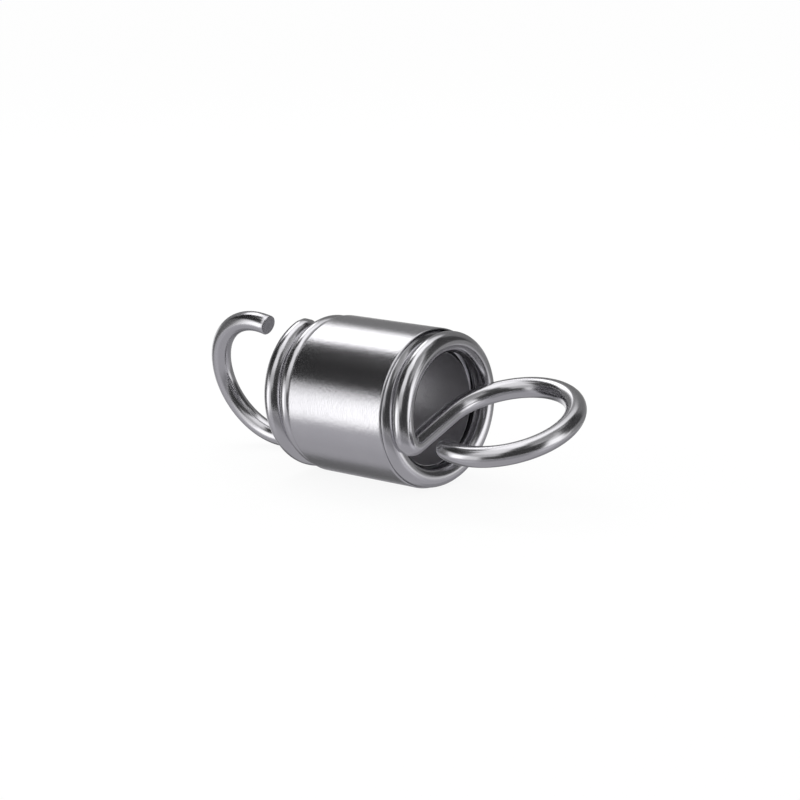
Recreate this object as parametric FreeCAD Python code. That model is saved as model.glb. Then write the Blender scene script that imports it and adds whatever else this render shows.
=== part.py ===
import FreeCAD, Part
import math
import os

# An extension spring of round steel wire with a smooth sleeve round its middle turns and a
# smooth liner in its bore. The wire leaves the coil at both ends, bends sharply, crosses the
# end of the bore and swings round: into a closed loop at +X and an open hook at -X.
# Units are millimetres and degrees. The coil lies along X and winds right-handed, and angles
# round it go from +Y towards +Z.

# Wire and coil
wire = 4.0
coil_radius = 14.3
turn_gap = 0.43
whole_turns = 8
bend_radius = 3.0

# Loop end
loop_leave_angle = 188.6
loop_skew = 8.9
loop_tilt = -3.0
loop_offset = 0.77
loop_wrap = 298.0
loop_lead = 3.9

# Hook end, as it is seen before it is turned to face -X
hook_leave_angle = 70.5
hook_skew = 3.1
hook_tilt = 8.8
hook_offset = 1.39
hook_wrap = 278.0

# Sleeve and liner
sleeve_length = 25.5
sleeve_wall = 0.2
liner_wall = 0.2
sleeve_clearance = 0.1

# Turns that stay stiff with each end, counted back from where the wire leaves the coil
loop_stiff_turns = 1.5
hook_stiff_turns = 2.25

# Steps of the measurement that looks for the least gap between turns
measure_step = 0.75
neighbour_reach = 3 * wire

# What follows from the sizes above
wire_radius = wire / 2
pitch = wire + turn_gap
half_turn = 180.0
quarter_turn = 90.0
turns = whole_turns + (loop_leave_angle + hook_leave_angle - half_turn) / 360
coil_length = turns * pitch
loop_leave_x = sleeve_length / 2 + loop_lead
hook_leave_x = coil_length - loop_leave_x

AXIS = FreeCAD.Vector(1, 0, 0)
UP = FreeCAD.Vector(0, 0, 1)
ORIGIN = FreeCAD.Vector(0, 0, 0)


def turned(vector, about, angle):
    """The vector after a turn about an axis through the origin."""
    return FreeCAD.Rotation(about, angle).multVec(vector)


def on_coil(angle, leave_angle, leave_x):
    """Point of the coil's centre line at an angle, given where its wire leaves the coil."""
    turn = math.radians(angle)
    x = leave_x + pitch * (angle - leave_angle) / 360
    return FreeCAD.Vector(x, coil_radius * math.cos(turn), coil_radius * math.sin(turn))


def along_coil(angle):
    """Direction of the coil's centre line at an angle, towards +X."""
    turn = math.radians(angle)
    rise = pitch / (2 * math.pi)
    slope = FreeCAD.Vector(rise, -coil_radius * math.sin(turn), coil_radius * math.cos(turn))
    return slope.normalize()


def bent_edge(start, corner, end):
    """Arc that leaves start towards the corner and arrives at end from it."""
    chord_middle = (start + end) / 2
    inward = corner - chord_middle
    half_bend = (corner - start).getAngle(end - corner) / 2
    radius = (end - start).Length / 2 / math.sin(half_bend)
    crown = chord_middle + inward.normalize() * radius * (1 - math.cos(half_bend))
    return Part.Arc(start, crown, end).toShape()


def biarc(start, start_way, end, end_way):
    """Two arcs that meet smoothly and join two points with given directions."""
    gap = end - start
    ways = start_way + end_way
    spread = 2 * (1 - start_way.dot(end_way))
    reach = (math.sqrt(gap.dot(ways) ** 2 + spread * gap.dot(gap)) - gap.dot(ways)) / spread
    first_corner = start + start_way * reach
    last_corner = end - end_way * reach
    joint = (first_corner + last_corner) / 2
    return [bent_edge(start, first_corner, joint), bent_edge(joint, last_corner, end)]


def coil_edges(first_angle, last_angle, leave_angle, leave_x):
    """Stretch of the coil's centre line as biarcs, each over a quarter turn or less."""
    count = math.ceil((last_angle - first_angle) / quarter_turn)
    step = (last_angle - first_angle) / count
    edges = []
    for i in range(count):
        a = first_angle + i * step
        b = a + step
        start = on_coil(a, leave_angle, leave_x)
        end = on_coil(b, leave_angle, leave_x)
        edges += biarc(start, along_coil(a), end, along_coil(b))
    return edges


def round_edges(start, way, about, radius, angle):
    """Arc from a point and a direction, in pieces of a quarter turn or less."""
    centre = start + about.cross(way) * radius
    count = math.ceil(angle / quarter_turn)
    spokes = [turned(start - centre, about, angle * i / (2 * count)) for i in range(2 * count + 1)]
    points = [centre + spoke for spoke in spokes]
    arcs = [Part.Arc(*points[2 * i:2 * i + 3]).toShape() for i in range(count)]
    return arcs, points[-1], centre


def end_edges(leave_angle, leave_x, stiff_turns, skew, tilt, offset, wrap):
    """Centre line of one end of the wire, facing +X, and the centre of its round.

    The wire runs round the last turns, bends sharply inwards, crosses the bore straight and
    swings round with the coil's own radius, in the plane of the crossing and the axis. The
    crossing is as long as it takes to bring the round's centre to its offset past the axis.
    """
    first_angle = leave_angle - 360 * stiff_turns
    edges = coil_edges(first_angle, leave_angle, leave_angle, leave_x)
    leave = on_coil(leave_angle, leave_angle, leave_x)
    way = along_coil(leave_angle)
    across = turned(FreeCAD.Vector(0, 1, 0), AXIS, leave_angle + half_turn + skew)
    crossing_way = across * math.cos(math.radians(tilt)) + AXIS * math.sin(math.radians(tilt))
    bend_about = way.cross(crossing_way).normalize()
    bend_angle = math.degrees(way.getAngle(crossing_way))
    bend, bend_end, bend_centre = round_edges(leave, way, bend_about, bend_radius, bend_angle)
    swing_about = crossing_way.cross(AXIS).normalize()
    to_centre = swing_about.cross(crossing_way) * coil_radius
    crossing = (offset - (bend_end + to_centre).dot(across)) / crossing_way.dot(across)
    crossing_end = bend_end + crossing_way * crossing
    straight = Part.LineSegment(bend_end, crossing_end).toShape()
    print(f"crossing of {crossing:.2f} mm")
    swing, tip, centre = round_edges(crossing_end, crossing_way, swing_about, coil_radius, wrap)
    return edges + bend + [straight] + swing, centre


def tube(edges):
    """Round wire along a path of edges that meet smoothly."""
    path = Part.Wire(edges)
    first = edges[0]
    start = first.valueAt(first.FirstParameter)
    way = first.tangentAt(first.FirstParameter)
    section = Part.Wire(Part.Circle(start, way, wire_radius).toShape())
    solid = path.makePipeShell([section], True, False).Solids[0]
    expected = path.Length * math.pi * wire_radius ** 2
    print(f"tube of {path.Length:.1f} mm, volume {solid.Volume / expected:.4f} of section by length")
    return solid


def pipe(outer_radius, wall):
    """Thin open tube of the sleeve's length round the axis, centred on the origin."""
    start = FreeCAD.Vector(-sleeve_length / 2, 0, 0)
    outside = Part.makeCylinder(outer_radius, sleeve_length, start, AXIS)
    return outside.cut(Part.makeCylinder(outer_radius - wall, sleeve_length, start, AXIS))


def outer_sleeve():
    """Smooth sleeve over the crests of the middle turns."""
    return pipe(coil_radius + wire_radius + sleeve_clearance + sleeve_wall, sleeve_wall)


def inner_sleeve():
    """Smooth liner inside the middle turns."""
    return pipe(coil_radius - wire_radius - sleeve_clearance, liner_wall)


def points_along(edges):
    """Evenly spaced points along a path of edges, from its first end to its last."""
    points = []
    for edge in edges:
        count = math.ceil(edge.Length / measure_step)
        points += edge.discretize(count + 1)[:-1]
    return points


def least_gap(points):
    """Least daylight between two stretches of the wire that aren't neighbours."""
    places = [0.0]
    for before, after in zip(points, points[1:]):
        places.append(places[-1] + before.distanceToPoint(after))
    least = math.inf
    for i, point in enumerate(points):
        for j in range(i):
            if places[i] - places[j] > neighbour_reach:
                least = min(least, point.distanceToPoint(points[j]))
    return least - wire


loop_edges, loop_centre = end_edges(
    loop_leave_angle, loop_leave_x, loop_stiff_turns,
    loop_skew, loop_tilt, loop_offset, loop_wrap,
)
hook_edges_at_plus_x, hook_centre = end_edges(
    hook_leave_angle, hook_leave_x, hook_stiff_turns,
    hook_skew, hook_tilt, hook_offset, hook_wrap,
)
hook_edges = [edge.rotated(ORIGIN, UP, half_turn) for edge in hook_edges_at_plus_x]
middle_edges = coil_edges(
    loop_leave_angle - 360 * (turns - hook_stiff_turns),
    loop_leave_angle - 360 * loop_stiff_turns,
    loop_leave_angle, loop_leave_x,
)

from_hook_tip = points_along(hook_edges)[::-1]
whole_wire = from_hook_tip + points_along(middle_edges) + points_along(loop_edges)
print(f"least gap of the wire to itself {least_gap(whole_wire):.3f} mm")

# The origin is on the axis, midway between the outermost points of the loop and the hook.
loop_reach = loop_centre.x + coil_radius + wire_radius
hook_reach = hook_centre.x + coil_radius + wire_radius
to_origin = FreeCAD.Vector((hook_reach - loop_reach) / 2, 0, 0)

parts = {
    "loop_end": tube(loop_edges),
    "hook_end": tube(hook_edges),
    "coil": tube(middle_edges),
    "outer_sleeve": outer_sleeve(),
    "inner_sleeve": inner_sleeve(),
}

os.makedirs("parts", exist_ok=True)
for name, shape in parts.items():
    placed = shape.translated(to_origin)
    placed.exportStep(f"parts/{name}.step")
    box = placed.optimalBoundingBox()
    print(f"{name}: valid {placed.isValid()}, solids {len(placed.Solids)}, "
          f"x {box.XMin:.2f} to {box.XMax:.2f}, y {box.YMin:.2f} to {box.YMax:.2f}, "
          f"z {box.ZMin:.2f} to {box.ZMax:.2f}")
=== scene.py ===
# %% [markdown]
# # A short extension spring
# The object is one length of round steel wire, wound into a close coil and bent into a loop at
# one end and a hook at the other. A smooth steel band lies round the middle turns and another
# lines the bore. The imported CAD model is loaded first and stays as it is: it says where every
# piece lies and how it moves. Each piece is then modelled again in the same place, with the
# thickness, the small rounded edges and the finish that the real one has.

import math

import bmesh
import bpy
from mathutils import Matrix, Vector


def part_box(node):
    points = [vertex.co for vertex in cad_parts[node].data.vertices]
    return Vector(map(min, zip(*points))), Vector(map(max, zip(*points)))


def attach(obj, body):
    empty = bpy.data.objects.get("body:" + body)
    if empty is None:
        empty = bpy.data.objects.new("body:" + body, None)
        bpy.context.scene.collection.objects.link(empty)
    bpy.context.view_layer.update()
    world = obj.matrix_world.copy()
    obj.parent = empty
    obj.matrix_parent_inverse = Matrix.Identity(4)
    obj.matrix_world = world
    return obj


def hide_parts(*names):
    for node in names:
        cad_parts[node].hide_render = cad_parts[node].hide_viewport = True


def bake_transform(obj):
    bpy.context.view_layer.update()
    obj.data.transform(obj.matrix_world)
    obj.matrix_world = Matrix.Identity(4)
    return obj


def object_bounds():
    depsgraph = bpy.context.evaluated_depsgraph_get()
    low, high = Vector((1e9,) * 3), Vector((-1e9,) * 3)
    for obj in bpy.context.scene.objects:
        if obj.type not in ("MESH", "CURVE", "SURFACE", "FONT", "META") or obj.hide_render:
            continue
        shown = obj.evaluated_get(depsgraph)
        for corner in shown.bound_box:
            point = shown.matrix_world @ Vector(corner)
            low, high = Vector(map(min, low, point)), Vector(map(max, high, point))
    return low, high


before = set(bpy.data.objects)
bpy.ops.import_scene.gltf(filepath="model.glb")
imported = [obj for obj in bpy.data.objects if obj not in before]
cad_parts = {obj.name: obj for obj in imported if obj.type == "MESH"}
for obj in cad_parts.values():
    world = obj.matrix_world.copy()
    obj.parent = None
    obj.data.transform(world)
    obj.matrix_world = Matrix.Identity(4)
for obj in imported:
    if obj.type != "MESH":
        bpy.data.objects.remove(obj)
cad_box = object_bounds()
MM = 0.001

# %% [markdown]
# ## Where the wire runs
# The path is the one that the CAD model has: a coil, a sharp bend inwards at each end, a
# straight run across the bore, and a round of the coil's own radius. The photograph's wire all
# but fills the pitch, where the CAD model's solids need daylight between their turns. So the
# wire is drawn at its real 4.3 mm here, on a centre line that keeps the coil's outer radius, and
# its bends are a little tighter, as the creases in the photograph are.
# Each end is five numbers: the angle at which it leaves the coil, how far its straight run is
# skewed from a diameter and tilted along the axis, how far past the axis the middle of its round
# lies, and how many degrees that round has.
# All sizes are in millimetres and degrees until the mesh is made. Angles go from +Y towards +Z.

# %% Sizes of the wire
WIRE_RADIUS = 2.15
COIL_RADIUS = 14.15  # to the middle of the wire
PITCH = 4.44
BEND_RADIUS = 2.4
LEAD = 4.2  # from the sleeve's rim to where the loop's wire leaves the coil
WHOLE_TURNS = 8
LOOP = {"leave": 192.4, "skew": 5.4, "tilt": -3.8, "offset": 1.72, "wrap": 298.5}
HOOK = {"leave": 73.1, "skew": 0.9, "tilt": 8.4, "offset": 1.14, "wrap": 278.0}
X_AXIS = Vector((1, 0, 0))

sleeve_low, sleeve_high = (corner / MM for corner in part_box("outer_sleeve"))
sleeve_length = sleeve_high.x - sleeve_low.x
sleeve_middle = Vector(((sleeve_low.x + sleeve_high.x) / 2, 0, 0))
turns = WHOLE_TURNS + (LOOP["leave"] + HOOK["leave"] - 180) / 360
loop_leave_x = sleeve_length / 2 + LEAD
hook_leave_x = turns * PITCH - loop_leave_x
print(f"{turns:.2f} turns")
print(f"sleeve {sleeve_length:.1f} mm long, its middle at x {sleeve_middle.x:.2f}")

# %% [markdown]
# ## Strokes
# A wire bender makes such an end in three strokes, and so does the mesh: a turn about an axis,
# a straight run, another turn. Each stroke is kept as what it does to the wire's section, so
# the same list moves a point now and sweeps the mesh later.

# %% Strokes of one end
def turned(vector, about, angle):
    """The vector after a turn about an axis through the origin."""
    return Matrix.Rotation(math.radians(angle), 3, about) @ vector


def end_strokes(leave, skew, tilt, offset, wrap, leave_x):
    """Where the wire leaves the coil at +X, its direction there, and its strokes from there on."""
    spoke = turned(Vector((0, 1, 0)), X_AXIS, leave)
    start = spoke * COIL_RADIUS + X_AXIS * leave_x
    way = (X_AXIS.cross(spoke) * COIL_RADIUS + X_AXIS * PITCH / math.tau).normalized()
    across = turned(-spoke, X_AXIS, skew)
    crossing_way = across * math.cos(math.radians(tilt)) + X_AXIS * math.sin(math.radians(tilt))
    bend_about = way.cross(crossing_way).normalized()
    bend_centre = start + bend_about.cross(way) * BEND_RADIUS
    bend = math.degrees(way.angle(crossing_way))
    bend_end = bend_centre + turned(start - bend_centre, bend_about, bend)
    swing_about = crossing_way.cross(X_AXIS).normalized()
    to_centre = swing_about.cross(crossing_way) * COIL_RADIUS
    length = (offset - (bend_end + to_centre).dot(across)) / crossing_way.dot(across)
    swing_centre = bend_end + crossing_way * length + to_centre
    strokes = [
        {"kind": "turn", "centre": bend_centre, "about": bend_about, "angle": bend,
         "radius": BEND_RADIUS},
        {"kind": "run", "by": crossing_way * length},
        {"kind": "turn", "centre": swing_centre, "about": swing_about, "angle": wrap,
         "radius": COIL_RADIUS},
    ]
    return start, way, strokes


_, loop_way, loop_strokes = end_strokes(**LOOP, leave_x=loop_leave_x)
hook_start, hook_way, hook_strokes = end_strokes(**HOOK, leave_x=hook_leave_x)
print(f"runs across the bore of {loop_strokes[1]['by'].length:.2f} "
      f"and {hook_strokes[1]['by'].length:.2f} mm")

# %% [markdown]
# ## From tip to tip
# The hook is described facing +X, so it is turned half way round Z. The mesh starts at the
# hook's tip, so the hook's strokes are also taken last to first and backwards. Between the two
# ends lies one long stroke, a turn with a climb, which is what a coil is.

# %% One list of strokes for the whole wire
half_turn_z = Matrix.Rotation(math.pi, 3, "Z")
point, way = half_turn_z @ hook_start, half_turn_z @ hook_way
back_to_coil = []
for stroke in hook_strokes:
    if stroke["kind"] == "run":
        by = half_turn_z @ stroke["by"]
        point = point + by
        back_to_coil.insert(0, {"kind": "run", "by": -by})
    else:
        centre, about = half_turn_z @ stroke["centre"], half_turn_z @ stroke["about"]
        point = centre + turned(point - centre, about, stroke["angle"])
        way = turned(way, about, stroke["angle"])
        backwards = {**stroke, "centre": centre, "about": about, "angle": -stroke["angle"]}
        back_to_coil.insert(0, backwards)
hook_tip, hook_tip_way = point, -way
coil_stroke = {
    "kind": "coil", "centre": Vector(), "about": X_AXIS, "angle": turns * 360,
    "radius": COIL_RADIUS, "climb": X_AXIS * turns * PITCH,
}
whole_wire = back_to_coil + [coil_stroke] + loop_strokes
print("hook tip at", [round(c, 2) for c in hook_tip + sleeve_middle])

# %% [markdown]
# ## Sweeping the section
# The wire starts as one circle at the hook's tip. Spin carries it through the turns, and an
# extrusion through the straight runs. Spin can also climb a little at each step, and then it
# draws a helix. Three layers of numbers on the mesh are filled in while it is swept.

# %% First ring and the two ways to sweep it
SIDES = 32
RING_SPACING = 1.0
bm = bmesh.new()
around = bm.verts.layers.float.new("around")
along = bm.verts.layers.float.new("along")
share = bm.verts.layers.float.new("share")
place = Matrix.Translation(hook_tip) @ hook_tip_way.to_track_quat("Z", "Y").to_matrix().to_4x4()
bmesh.ops.create_circle(bm, segments=SIDES, radius=WIRE_RADIUS, matrix=place)
for i, vert in enumerate(bm.verts):
    vert[around] = i / SIDES
    vert[share] = 1
first_ring = last_ring = bm.edges[:]
print(f"first ring of {len(first_ring)} edges")


def extruded(edges):
    """Extrudes a ring of edges and returns the new ring's edges and points."""
    swept = bmesh.ops.extrude_edge_only(bm, edges=edges)["geom"]
    points = {e for e in swept if isinstance(e, bmesh.types.BMVert)}
    ring = [e for e in swept if isinstance(e, bmesh.types.BMEdge) and points.issuperset(e.verts)]
    return ring, list(points)


def spun(edges, stroke, length):
    """Spins a ring of edges through a stroke and returns the last ring's edges."""
    steps = math.ceil(length / RING_SPACING)
    swept = bmesh.ops.spin(
        bm, geom=edges, cent=stroke["centre"], axis=stroke["about"], steps=steps,
        angle=math.radians(stroke["angle"]), dvec=stroke.get("climb", Vector()) / steps,
    )["geom_last"]
    return [e for e in swept if isinstance(e, bmesh.types.BMEdge)]


# %% [markdown]
# ## Stroke by stroke
# Every point of the mesh keeps how far round the section it is, and every ring how far along the
# wire it lies and how much of the hook's travel it follows when the spring is pulled: all of it
# at the hook, none at the loop, and evenly less from turn to turn between. So the share drops
# from one to none over the coil, and stays level over the ends.

# %% Sweep
travelled, hook_share = 0.0, 1.0
for stroke in whole_wire:
    made_before = len(bm.verts)
    if stroke["kind"] == "run":
        length = stroke["by"].length
        last_ring, points = extruded(last_ring)
        bmesh.ops.translate(bm, vec=stroke["by"], verts=points)
    else:
        climb = stroke.get("climb", Vector()).length
        length = math.hypot(math.radians(abs(stroke["angle"])) * stroke["radius"], climb)
        last_ring = spun(last_ring, stroke, length)
    fresh = bm.verts[made_before:]
    drop = 1 if stroke["kind"] == "coil" else 0
    for i, vert in enumerate(fresh):
        done = (i // SIDES + 1) * SIDES / len(fresh)
        vert[along] = travelled + length * done
        vert[share] = hook_share - drop * done
    travelled += length
    hook_share -= drop
print(f"{len(bm.verts) // SIDES} rings over {travelled:.0f} mm of wire")

# %% [markdown]
# ## Cut ends
# The wire was sheared to length and its burr taken off, so each end is flat with a rim that is
# barely rounded. The last ring steps back by the rounding, and three small extrusions draw it
# in to the flat face. The face itself is shaded flat, which keeps its edge crisp.

# %% Close the two ends
CUT_ROUNDING = 0.22
ROUNDING_ANGLES = (30, 60, 90)


def close_end(ring, outward):
    """Rounds the rim of a cut end and closes it with a flat face."""
    points = list({v for e in ring for v in e.verts})
    bmesh.ops.translate(bm, vec=-outward * CUT_ROUNDING, verts=points)
    radius, rise = WIRE_RADIUS, 0.0
    for angle in ROUNDING_ANGLES:
        turn = math.radians(angle)
        middle = sum((v.co for v in points), Vector()) / len(points)
        ring, points = extruded(ring)
        new_radius = WIRE_RADIUS - CUT_ROUNDING * (1 - math.cos(turn))
        new_rise = CUT_ROUNDING * math.sin(turn)
        factor = new_radius / radius
        bmesh.ops.scale(
            bm, vec=(factor,) * 3, space=Matrix.Translation(-middle), verts=points
        )
        bmesh.ops.translate(bm, vec=outward * (new_rise - rise), verts=points)
        radius, rise = new_radius, new_rise
    return bmesh.ops.edgeloop_fill(bm, edges=ring)["faces"]


loop_tip_way = loop_way
for stroke in loop_strokes:
    if stroke["kind"] == "turn":
        loop_tip_way = turned(loop_tip_way, stroke["about"], stroke["angle"])
cut_faces = close_end(first_ring, -hook_tip_way) + close_end(last_ring, loop_tip_way)
print(f"{len(cut_faces)} cut faces")

# %% [markdown]
# ## The wire as an object
# Drawn wire has marks that run along it, so its finish has to follow the wire wherever it
# bends. Each point therefore gets the place that it would have if the wire were pulled
# straight: two coordinates across the section and one along the wire, in millimetres.

# %% Finish the wire's mesh
straight = bm.verts.layers.float_vector.new("straight_wire")
for vert in bm.verts:
    turn = vert[around] * math.tau
    vert[straight] = (WIRE_RADIUS * math.cos(turn), WIRE_RADIUS * math.sin(turn), vert[along])
for face in bm.faces:
    face.smooth = len(face.verts) == 4
    face.material_index = 0 if face.smooth else 1
bmesh.ops.recalc_face_normals(bm, faces=bm.faces)


def finished(bm, name):
    """Turns a bmesh in millimetres round the sleeve's middle into an object in the frame."""
    bmesh.ops.translate(bm, vec=sleeve_middle, verts=bm.verts)
    bmesh.ops.scale(bm, vec=(MM,) * 3, verts=bm.verts)
    mesh = bpy.data.meshes.new(name)
    bm.to_mesh(mesh)
    bm.free()
    piece = bpy.data.objects.new(name, mesh)
    bpy.context.scene.collection.objects.link(piece)
    print(f"{name}: {len(mesh.vertices)} points, {len(mesh.polygons)} faces")
    return piece


spring_wire = finished(bm, "spring_wire")
for name in ("around", "along", "share"):
    spring_wire.data.attributes.remove(spring_wire.data.attributes[name])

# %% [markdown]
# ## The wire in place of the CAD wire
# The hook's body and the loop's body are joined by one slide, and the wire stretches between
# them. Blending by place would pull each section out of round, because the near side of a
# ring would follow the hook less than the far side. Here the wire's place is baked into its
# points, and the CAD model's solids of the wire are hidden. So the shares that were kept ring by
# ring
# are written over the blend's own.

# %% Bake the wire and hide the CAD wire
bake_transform(spring_wire)
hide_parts("hook_end", "coil", "loop_end")

# %% [markdown]
# ## The two bands
# A band is a strip of sheet steel rolled into a tube. The sleeve's rims are pressed down on to
# the turns, so that its outside falls away to a thin edge and leaves no open gap. The liner's
# rims are only deburred, and show as a bright line. Each corner of the wall's section is a
# quarter of an ellipse, and a full spin round the axis makes the tube. Two cuts close to the
# rims keep the rims' shading from creeping along the smooth wall.

# %% Shape of a band
BAND_SEGMENTS = 192
CORNER_STEPS = 5
RIM_CUT = 0.7  # how far in from the rim the wall is cut


def band(name, outside_radius, wall, inside_corner, outside_corner):
    """A thin tube of the sleeve's length; a corner is how far it reaches along and across."""
    half = sleeve_length / 2
    section = []
    for radius, outwards, (along, across) in (
        (outside_radius - wall, -1, inside_corner), (outside_radius, 1, outside_corner),
    ):
        corner = []
        for i in range(CORNER_STEPS + 1):
            turn = math.pi / 2 * i / CORNER_STEPS
            x = half - along * (1 - math.cos(turn))
            corner.append((x, radius - outwards * across * (1 - math.sin(turn))))
        mirrored = [(-x, z) for x, z in corner]
        section += mirrored + corner[::-1] if outwards < 0 else corner + mirrored[::-1]
    bm = bmesh.new()
    points = [bm.verts.new((x, 0, z)) for x, z in section]
    for i, point in enumerate(points):
        bm.edges.new((points[i - 1], point))
    bmesh.ops.spin(
        bm, geom=bm.edges[:], cent=(0, 0, 0), axis=X_AXIS, angle=math.tau,
        steps=BAND_SEGMENTS, use_merge=True,
    )
    for side in (-1, 1):
        bmesh.ops.bisect_plane(
            bm, geom=bm.verts[:] + bm.edges[:] + bm.faces[:],
            plane_co=(side * (half - RIM_CUT), 0, 0), plane_no=X_AXIS,
        )
    for face in bm.faces:
        face.smooth = True
    bmesh.ops.recalc_face_normals(bm, faces=bm.faces)
    return finished(bm, name)


# %% [markdown]
# ## Sleeve and liner
# The sleeve takes its outside from the CAD model's sleeve, and the liner lies inside the wire
# with a little room. Both ride on the sleeve's body, and each stands for its CAD solid.

# %% Make the bands
BAND_CLEARANCE = 0.1
outer_band = band(
    "sleeve_band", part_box("outer_sleeve")[1].z / MM, wall=0.26,
    inside_corner=(0.01, 0.01), outside_corner=(0.5, 0.22),
)
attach(outer_band, "sleeve")
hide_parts("outer_sleeve")
inner_band = band(
    "liner_band", COIL_RADIUS - WIRE_RADIUS - BAND_CLEARANCE, wall=0.2,
    inside_corner=(0.07, 0.07), outside_corner=(0.07, 0.07),
)
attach(inner_band, "sleeve")
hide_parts("inner_sleeve")

# %% [markdown]
# ## Colours and nodes
# Colours are written as they look on a screen, so one function turns them to the linear values
# that shaders use. A second function adds any node with its settings and what goes into it,
# which keeps a material readable from top to bottom. An input is given by its name, or by its
# number where a node has several of one name: a colour mix takes its colours as 6 and 7.

# %% Helpers for materials
def linear(hex_colour):
    """Linear red, green, blue and alpha of a screen colour."""
    channels = [int(hex_colour[i:i + 2], 16) / 255 for i in (1, 3, 5)]
    curved = [c / 12.92 if c <= 0.04045 else ((c + 0.055) / 1.055) ** 2.4 for c in channels]
    return (*curved, 1)


def add(tree, kind, settings=None, inputs=None):
    """Adds a node. Inputs are values, or other nodes' outputs, which get linked."""
    node = tree.nodes.new(kind)
    for name, value in (settings or {}).items():
        setattr(node, name, value)
    for name, value in (inputs or {}).items():
        if isinstance(value, bpy.types.NodeSocket):
            tree.links.new(value, node.inputs[name])
        else:
            node.inputs[name].default_value = value
    return node


def new_material(name):
    """A material with an empty node tree and its output."""
    material = bpy.data.materials.new(name)
    material.use_nodes = True
    material.node_tree.nodes.clear()
    return material, material.node_tree, add(material.node_tree, "ShaderNodeOutputMaterial")


# %% [markdown]
# ## Drawn spring steel wire
# Spring wire is pulled cold through a die and then polished. It mirrors softly, and the die
# leaves faint lines along it. The lines are noise on the straightened wire, stretched along the
# wire and 0.35 mm wide across it, which is coarser than the real ones so that they show. They
# make the steel rougher in places and stand up a little. Larger clouds of a paler and a
# darker grey keep the colour from being flat.

# %% Wire finish
DIE_LINE = 0.35
DIE_LINE_LENGTH = 45.0
DIE_LINE_DEPTH = 0.004
CLOUDS_PER_MM = (0.3, 0.3, 0.09)
NOISE_LOW, NOISE_HIGH = 0.3, 0.7  # nearly all values of a noise lie between these
wire_steel, tree, out = new_material("drawn_spring_steel")
place = add(tree, "ShaderNodeAttribute", {"attribute_name": "straight_wire"})
across = add(tree, "ShaderNodeVectorMath", {"operation": "MULTIPLY"}, {
    0: place.outputs["Vector"],
    1: (1 / DIE_LINE, 1 / DIE_LINE, 1 / DIE_LINE_LENGTH),
})
lines = add(tree, "ShaderNodeTexNoise", None, {
    "Vector": across.outputs[0], "Scale": 1.0, "Detail": 3.0, "Roughness": 0.6,
})
cloud_place = add(tree, "ShaderNodeVectorMath", {"operation": "MULTIPLY"}, {
    0: place.outputs["Vector"], 1: CLOUDS_PER_MM,
})
clouds = add(tree, "ShaderNodeTexNoise", None, {
    "Vector": cloud_place.outputs[0], "Scale": 1.0, "Detail": 2.0,
})
tint = add(tree, "ShaderNodeMix", {"data_type": "RGBA"}, {
    0: clouds.outputs["Fac"], 6: linear("#C4C3C7"), 7: linear("#CDCCCF"),
})
roughness = add(tree, "ShaderNodeMapRange", None, {
    "Value": lines.outputs["Fac"], "From Min": NOISE_LOW, "From Max": NOISE_HIGH,
    "To Min": 0.17, "To Max": 0.21,
})
ridges = add(tree, "ShaderNodeBump", None, {
    "Height": lines.outputs["Fac"], "Strength": 0.1, "Distance": DIE_LINE_DEPTH * MM,
})
metal = add(tree, "ShaderNodeBsdfPrincipled", None, {
    "Base Color": tint.outputs[2], "Metallic": 1.0,
    "Roughness": roughness.outputs[0], "Normal": ridges.outputs[0],
})
tree.links.new(metal.outputs[0], out.inputs["Surface"])
spring_wire.data.materials.append(wire_steel)
print(f"{wire_steel.name}: lines {DIE_LINE} mm wide")

# %% [markdown]
# ## Sheared steel
# The flat faces at the wire's two tips were torn by the shear and weren't polished after it, so
# they are matt and grey, with a coarse grain in no direction.

# %% Cut faces' finish
TORN_GRAIN = 0.5
TORN_DEPTH = 0.05
cut_steel, tree, out = new_material("sheared_steel")
place = add(tree, "ShaderNodeTexCoord")
torn = add(tree, "ShaderNodeTexNoise", None, {
    "Vector": place.outputs["Object"], "Scale": 1 / (TORN_GRAIN * MM), "Detail": 3.0,
})
ridges = add(tree, "ShaderNodeBump", None, {
    "Height": torn.outputs["Fac"], "Strength": 0.4, "Distance": TORN_DEPTH * MM,
})
metal = add(tree, "ShaderNodeBsdfPrincipled", None, {
    "Base Color": linear("#BAB9BD"), "Metallic": 1.0, "Roughness": 0.5,
    "Normal": ridges.outputs[0],
})
tree.links.new(metal.outputs[0], out.inputs["Surface"])
spring_wire.data.materials.append(cut_steel)
print(f"{cut_steel.name}: grain {TORN_GRAIN} mm wide")

# %% [markdown]
# ## Rolled sheet steel
# The bands have a fine satin grain, a little longer round the axis than along it. It is too
# fine to see grain by grain and shows only where a bright reflection meets a dark one, whose
# border it frays. Noise that is 0.3 mm wide along the axis and 0.9 mm long round it does that.
# The sleeve was polished after rolling and mirrors a little softly. The liner was left as it
# came from the mill, so it is darker, and shows its surroundings only as a blur.

# %% Band finishes
GRAIN_WIDTH = 0.3
GRAIN_LENGTH = 0.9
GRAIN_DEPTH = 0.07
CLOUD_SIZE = 7


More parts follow.
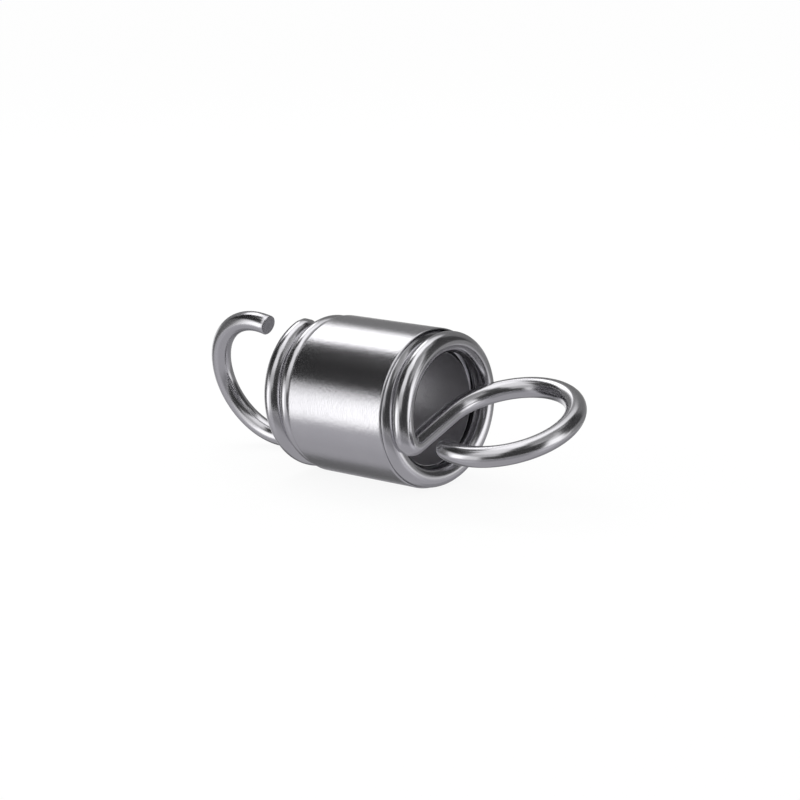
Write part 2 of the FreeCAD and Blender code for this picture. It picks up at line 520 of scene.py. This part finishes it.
def rolled_steel(name, dark, pale, smoothest, roughest):
    """Metal with a fine grain that is longer round the axis than along it."""
    material, tree, out = new_material(name)
    place = add(tree, "ShaderNodeTexCoord")
    stretched = add(tree, "ShaderNodeVectorMath", {"operation": "MULTIPLY"}, {
        0: place.outputs["Object"],
        1: (1 / (GRAIN_WIDTH * MM), 1 / (GRAIN_LENGTH * MM), 1 / (GRAIN_LENGTH * MM)),
    })
    grain = add(tree, "ShaderNodeTexNoise", None, {
        "Vector": stretched.outputs[0], "Scale": 1.0, "Detail": 3.0, "Roughness": 0.6,
    })
    clouds = add(tree, "ShaderNodeTexNoise", None, {
        "Vector": place.outputs["Object"], "Scale": 1 / (CLOUD_SIZE * MM), "Detail": 2.0,
    })
    tint = add(tree, "ShaderNodeMix", {"data_type": "RGBA"}, {
        0: clouds.outputs["Fac"], 6: linear(dark), 7: linear(pale),
    })
    roughness = add(tree, "ShaderNodeMapRange", None, {
        "Value": grain.outputs["Fac"], "From Min": NOISE_LOW, "From Max": NOISE_HIGH,
        "To Min": smoothest, "To Max": roughest,
    })
    ridges = add(tree, "ShaderNodeBump", None, {
        "Height": grain.outputs["Fac"], "Strength": 0.5, "Distance": GRAIN_DEPTH * MM,
    })
    metal = add(tree, "ShaderNodeBsdfPrincipled", None, {
        "Base Color": tint.outputs[2], "Metallic": 1.0,
        "Roughness": roughness.outputs[0], "Normal": ridges.outputs[0],
    })
    tree.links.new(metal.outputs[0], out.inputs["Surface"])
    return material


satin_steel = rolled_steel("satin_sheet_steel", "#C4C3C7", "#CBCACD", 0.17, 0.22)
dull_steel = rolled_steel("dull_sheet_steel", "#BCBBBF", "#C5C4C7", 0.46, 0.54)
outer_band.data.materials.append(satin_steel)
inner_band.data.materials.append(dull_steel)
for piece in (spring_wire, outer_band, inner_band):
    print(piece.name, [m.name for m in piece.data.materials])

# %% [markdown]
# ## Camera
# The camera was fitted to the outline of the spring in the photograph. It looks from the
# front right, 12.7 degrees above the axis, through a long lens, and leans by little more than
# a degree. Its angles are in degrees, its distance and shifts in millimetres.

# %% Place the camera
AZIMUTH, ELEVATION, ROLL = 41.3, 12.67, -1.33
DISTANCE, ACROSS, UPWARDS = 499.21, -2.74, -0.11
LENS, SENSOR_WIDTH = 108, 36
NEAREST, FARTHEST = 0.05, 50  # metres between which the camera sees
azimuth, elevation, roll = (math.radians(a) for a in (AZIMUTH, ELEVATION, ROLL))
back = Vector((
    math.cos(elevation) * math.sin(azimuth),
    -math.cos(elevation) * math.cos(azimuth),
    math.sin(elevation),
))
level = Vector((0, 0, 1)).cross(back).normalized()
upright = back.cross(level)
right = level * math.cos(roll) + upright * math.sin(roll)
up = upright * math.cos(roll) - level * math.sin(roll)
camera_data = bpy.data.cameras.new("camera")
camera_data.lens = LENS
camera_data.sensor_width = SENSOR_WIDTH
camera_data.clip_start, camera_data.clip_end = NEAREST, FARTHEST
camera = bpy.data.objects.new("camera", camera_data)
stand = (sleeve_middle + back * DISTANCE - right * ACROSS - up * UPWARDS) * MM
camera.matrix_world = Matrix((right, up, back)).transposed().to_4x4()
camera.location = stand
bpy.context.scene.collection.objects.link(camera)
bpy.context.scene.camera = camera
print("camera at", [round(c, 4) for c in stand])

# %% [markdown]
# ## Studio
# Polished metal shows its surroundings, so they are what gives the steel its light and dark
# bands. They are built in three layers: a plain white world, a white floor with two soft lamps
# that give it the shadow, and glowing cloths that only the steel's reflections see.

# %% White world
scene = bpy.context.scene
scene.view_settings.view_transform = "Standard"
world = bpy.data.worlds.new("white_studio")
scene.world = world
world.use_nodes = True
world.node_tree.nodes.clear()
glow = add(world.node_tree, "ShaderNodeBackground", None, {
    "Color": linear("#FFFFFF"), "Strength": 1.0,
})
world_out = add(world.node_tree, "ShaderNodeOutputWorld")
world.node_tree.links.new(glow.outputs[0], world_out.inputs["Surface"])
print("world", world.name)

# %% [markdown]
# ## Floor
# White paper lies just under the spring. Nine tenths of what the camera sees of it is a plain
# white glow, as pale as the photograph's background, and one tenth is lit by the lamps, which
# keeps the spring's shadow. The steel doesn't mirror it: a grey cloth takes its place there.

# %% Paper under the spring
FLOOR_SIZE = 8.0  # metres
FLOOR_GAP = 0.02
FLOOR_GLOW = 0.9
floor_height = cad_box[0].z - FLOOR_GAP * MM
bm = bmesh.new()
bmesh.ops.create_grid(bm, x_segments=1, y_segments=1, size=FLOOR_SIZE / 2)
bmesh.ops.translate(bm, vec=(0, 0, floor_height), verts=bm.verts)
floor_mesh = bpy.data.meshes.new("floor")
bm.to_mesh(floor_mesh)
bm.free()
floor = bpy.data.objects.new("floor", floor_mesh)
scene.collection.objects.link(floor)
floor.visible_glossy = False
print("floor at", round(floor_height, 5))

# %% [markdown]
# ## White paper
# Paper is matt and nearly white. A light path tells the camera's rays, and those that a mirror
# or glass sends on, from the rays that carry light, and only the first kind sees the glow.

# %% Paper's finish
floor_paper, tree, out = new_material("white_paper_floor")
path = add(tree, "ShaderNodeLightPath")
paper = add(tree, "ShaderNodeBsdfDiffuse", None, {"Color": linear("#F2F2F2")})
white = add(tree, "ShaderNodeEmission", None, {"Color": linear("#FFFFFF"), "Strength": 1.0})
mirrored = add(tree, "ShaderNodeMath", {"operation": "ADD"}, {
    0: path.outputs["Is Glossy Ray"], 1: path.outputs["Is Transmission Ray"],
})
seen = add(tree, "ShaderNodeMath", {"operation": "ADD"}, {
    0: path.outputs["Is Camera Ray"], 1: mirrored.outputs[0],
})
amount = add(tree, "ShaderNodeMath", {"operation": "MULTIPLY"}, {
    0: seen.outputs[0], 1: FLOOR_GLOW,
})
mixed = add(tree, "ShaderNodeMixShader", None, {
    0: amount.outputs[0], 1: paper.outputs[0], 2: white.outputs[0],
})
tree.links.new(mixed.outputs[0], out.inputs["Surface"])
floor_mesh.materials.append(floor_paper)
print(floor.name, [m.name for m in floor_mesh.materials])

# %% [markdown]
# ## Lamps
# Large soft lamps give the floor its faint, wide shadow. One hangs high behind the spring on its
# left, the other lower in front of it on its left. Reflections don't see them, because cloths
# show the steel its lamps.

# %% Lamps
LAMP_DISTANCE = 0.7  # metres


def towards(azimuth, elevation, distance):
    """Point at a distance from the spring; azimuth 0 is in front of it, 90 on its right."""
    a, e = math.radians(azimuth), math.radians(elevation)
    ray = Vector((math.sin(a) * math.cos(e), -math.cos(a) * math.cos(e), math.sin(e)))
    return ray * distance


def lamp(name, azimuth, elevation, width, height, radiance):
    """A soft rectangular lamp that faces the spring and lights the floor."""
    data = bpy.data.lights.new(name, "AREA")
    data.shape = "RECTANGLE"
    data.size, data.size_y = width, height
    data.energy = radiance * math.pi * width * height
    holder = bpy.data.objects.new(name, data)
    place = towards(azimuth, elevation, LAMP_DISTANCE)
    aim = (-place).to_track_quat("-Z", "Y").to_matrix().to_4x4()
    holder.matrix_world = Matrix.Translation(place) @ aim
    holder.visible_camera = False
    holder.visible_glossy = False
    scene.collection.objects.link(holder)
    print(f"{name}: {data.energy:.2f} W")


lamp("back_lamp", azimuth=-117, elevation=54, width=0.36, height=0.40, radiance=2.6)
lamp("left_lamp", azimuth=-32, elevation=20, width=0.34, height=0.34, radiance=2.0)

# %% [markdown]
# ## A cloth for the steel to mirror
# A cloth is a piece of a sphere round the spring, given by its azimuths from left to right and
# its elevations from low to high. It thins out towards its edges, so that its reflection has the
# soft borders of a lamp or a wall in a real studio. Each point keeps how thick the cloth is.

# %% Cloth's mesh
CLOTH_STEP = 4  # degrees from point to point


def cloth_mesh(name, distance, azimuths, elevations, soft, slant, lean):
    """A piece of a sphere round the spring, whose points keep the cloth's thickness.

    Soft is over how many degrees it thins out. Slant is how much higher its right edge hangs
    than its left, lean how much further right its top edge lies than its lower one.
    """
    left, right = azimuths
    low, high = elevations
    columns = math.ceil((right - left) / CLOTH_STEP)
    rows = math.ceil((high - low) / CLOTH_STEP)
    bm = bmesh.new()
    bmesh.ops.create_grid(bm, x_segments=columns, y_segments=rows, size=0.5)
    thickness = bm.verts.layers.float.new("thickness")
    for vert in bm.verts:
        u, v = vert.co.x + 0.5, vert.co.y + 0.5
        azimuth = left + (right - left) * u
        elevation = low + (high - low) * v
        inside = []  # degrees from each edge; a full round and a pole have none
        if right - left < 360:
            inside += [azimuth - left, right - azimuth]
        if low > -90:
            inside.append(elevation - low)
        if high < 90:
            inside.append(high - elevation)
        part = min(1, min(inside) / soft)
        vert[thickness] = part * part * (3 - 2 * part)
        vert.co = towards(azimuth + lean * (v - 0.5), elevation + slant * (u - 0.5), distance)
    mesh = bpy.data.meshes.new(name)
    bm.to_mesh(mesh)
    bm.free()
    return mesh


# %% [markdown]
# ## Glowing cloth
# A lit studio cloth looks evenly bright, so a plain glow stands for it, and mixes with clear by
# the thickness. Cycles needn't sample it as a lamp, since only mirrored rays meet it.

# %% Cloth's finish
def cloth_material(name, radiance, colour):
    """A glow that fades to clear where the cloth thins out."""
    material, tree, out = new_material("cloth_" + name)
    cover = add(tree, "ShaderNodeAttribute", {"attribute_name": "thickness"})
    clear = add(tree, "ShaderNodeBsdfTransparent")
    glow = add(tree, "ShaderNodeEmission", None, {
        "Color": linear(colour), "Strength": radiance,
    })
    mixed = add(tree, "ShaderNodeMixShader", None, {
        0: cover.outputs["Fac"], 1: clear.outputs[0], 2: glow.outputs[0],
    })
    tree.links.new(mixed.outputs[0], out.inputs["Surface"])
    material.cycles.emission_sampling = "NONE"
    return material


# %% [markdown]
# ## The cloths
# Each cloth hangs in the directions that one band in the photograph mirrors: a pale ceiling, a
# grey table with a touch of violet, a wall and a window in front, dark walls at the sides and
# behind, and three lamps. How brightly a cloth glows paints how lit that part is: the table's
# lit, dim and shaded pieces are painted light and shade on one table, and the dim right of the
# ceiling is painted shade. Only reflections show them. A later cloth hangs in front of an
# earlier one, and where none hangs, the steel mirrors the white world.

# %% Hang the cloths
FARTHEST_CLOTH = 1.0  # metres
CLOTH_SPACING = 0.012
HIDDEN_FROM = ("camera", "diffuse", "transmission", "volume_scatter", "shadow")
TABLE_GREY = "#FBFAFF"
cloths = []


def hang(name, radiance, azimuths, elevations, soft=8, slant=0, lean=0, colour="#FFFFFF"):
    """Hangs a cloth of a brightness and a colour in front of the cloths before it."""
    distance = FARTHEST_CLOTH - CLOTH_SPACING * len(cloths)
    mesh = cloth_mesh(name, distance, azimuths, elevations, soft, slant, lean)
    piece = bpy.data.objects.new(name, mesh)
    scene.collection.objects.link(piece)
    for ray in HIDDEN_FROM:
        setattr(piece, "visible_" + ray, False)
    mesh.materials.append(cloth_material(name, radiance, colour))
    cloths.append(piece)


hang("ceiling", 1.59, (0, 360), (56, 90), soft=16)
hang("dim_ceiling_right", 0.34, (36, 164), (52, 86), soft=12)
# The table's pieces are one table glowing stronger or weaker: painted light where it is lit,
# painted shade where it is shaded.
hang("table", 0.5, (0, 360), (-90, -14), soft=12, colour=TABLE_GREY)
hang("dim_table_back", 0.33, (150, 226), (-72, -12), soft=14, colour=TABLE_GREY)
hang("dim_table_front", 0.31, (-8, 80), (-44, -14), soft=14, colour=TABLE_GREY)
hang("lit_table_left", 0.6, (-64, -4), (-56, -20), soft=14, colour=TABLE_GREY)
hang("lit_table_right", 0.73, (84, 130), (-50, -16), soft=14, colour=TABLE_GREY)
hang("shaded_table_back_left", 0.129, (-156, -86), (-64, -20), soft=22, slant=-6)
hang("front_wall", 0.64, (-34, 28), (6, 36), soft=12)
hang("front_window", 1.16, (-34, 32), (32, 74), soft=12)
hang("dark_front", 0.086, (-6, 32), (-22, 14))
hang("dark_right", 0.06, (16, 91), (-22, 38))
hang("dark_right_high", 0.086, (22, 66), (26, 62))
hang("grey_right_high", 0.43, (56, 104), (33, 64))
hang("dark_back_right", 0.069, (104, 180), (-3, 61))
hang("dark_back_right_high", 0.034, (139, 179), (38, 70), soft=10)
hang("dim_back", 0.24, (158, 272), (-3, 51))
hang("grey_back_low", 0.28, (130, 224), (-23, 6))
hang("dim_left_low", 0.171, (-98, -50), (-26, 33))
hang("dark_left", 0.034, (-93, -22), (12, 56))
hang("dark_left_high", 0.034, (-90, -47), (46, 70))
hang("back_lamp_cloth", 2.4, (-131, -86), (33, 60), slant=4)
hang("left_lamp_cloth", 1.97, (-54, -19), (-27, 15), soft=13, slant=6, lean=14)
hang("right_lamp_cloth", 1.63, (85, 123), (-23, 23), soft=11, slant=-6, lean=-10)
print(len(cloths), "cloths")
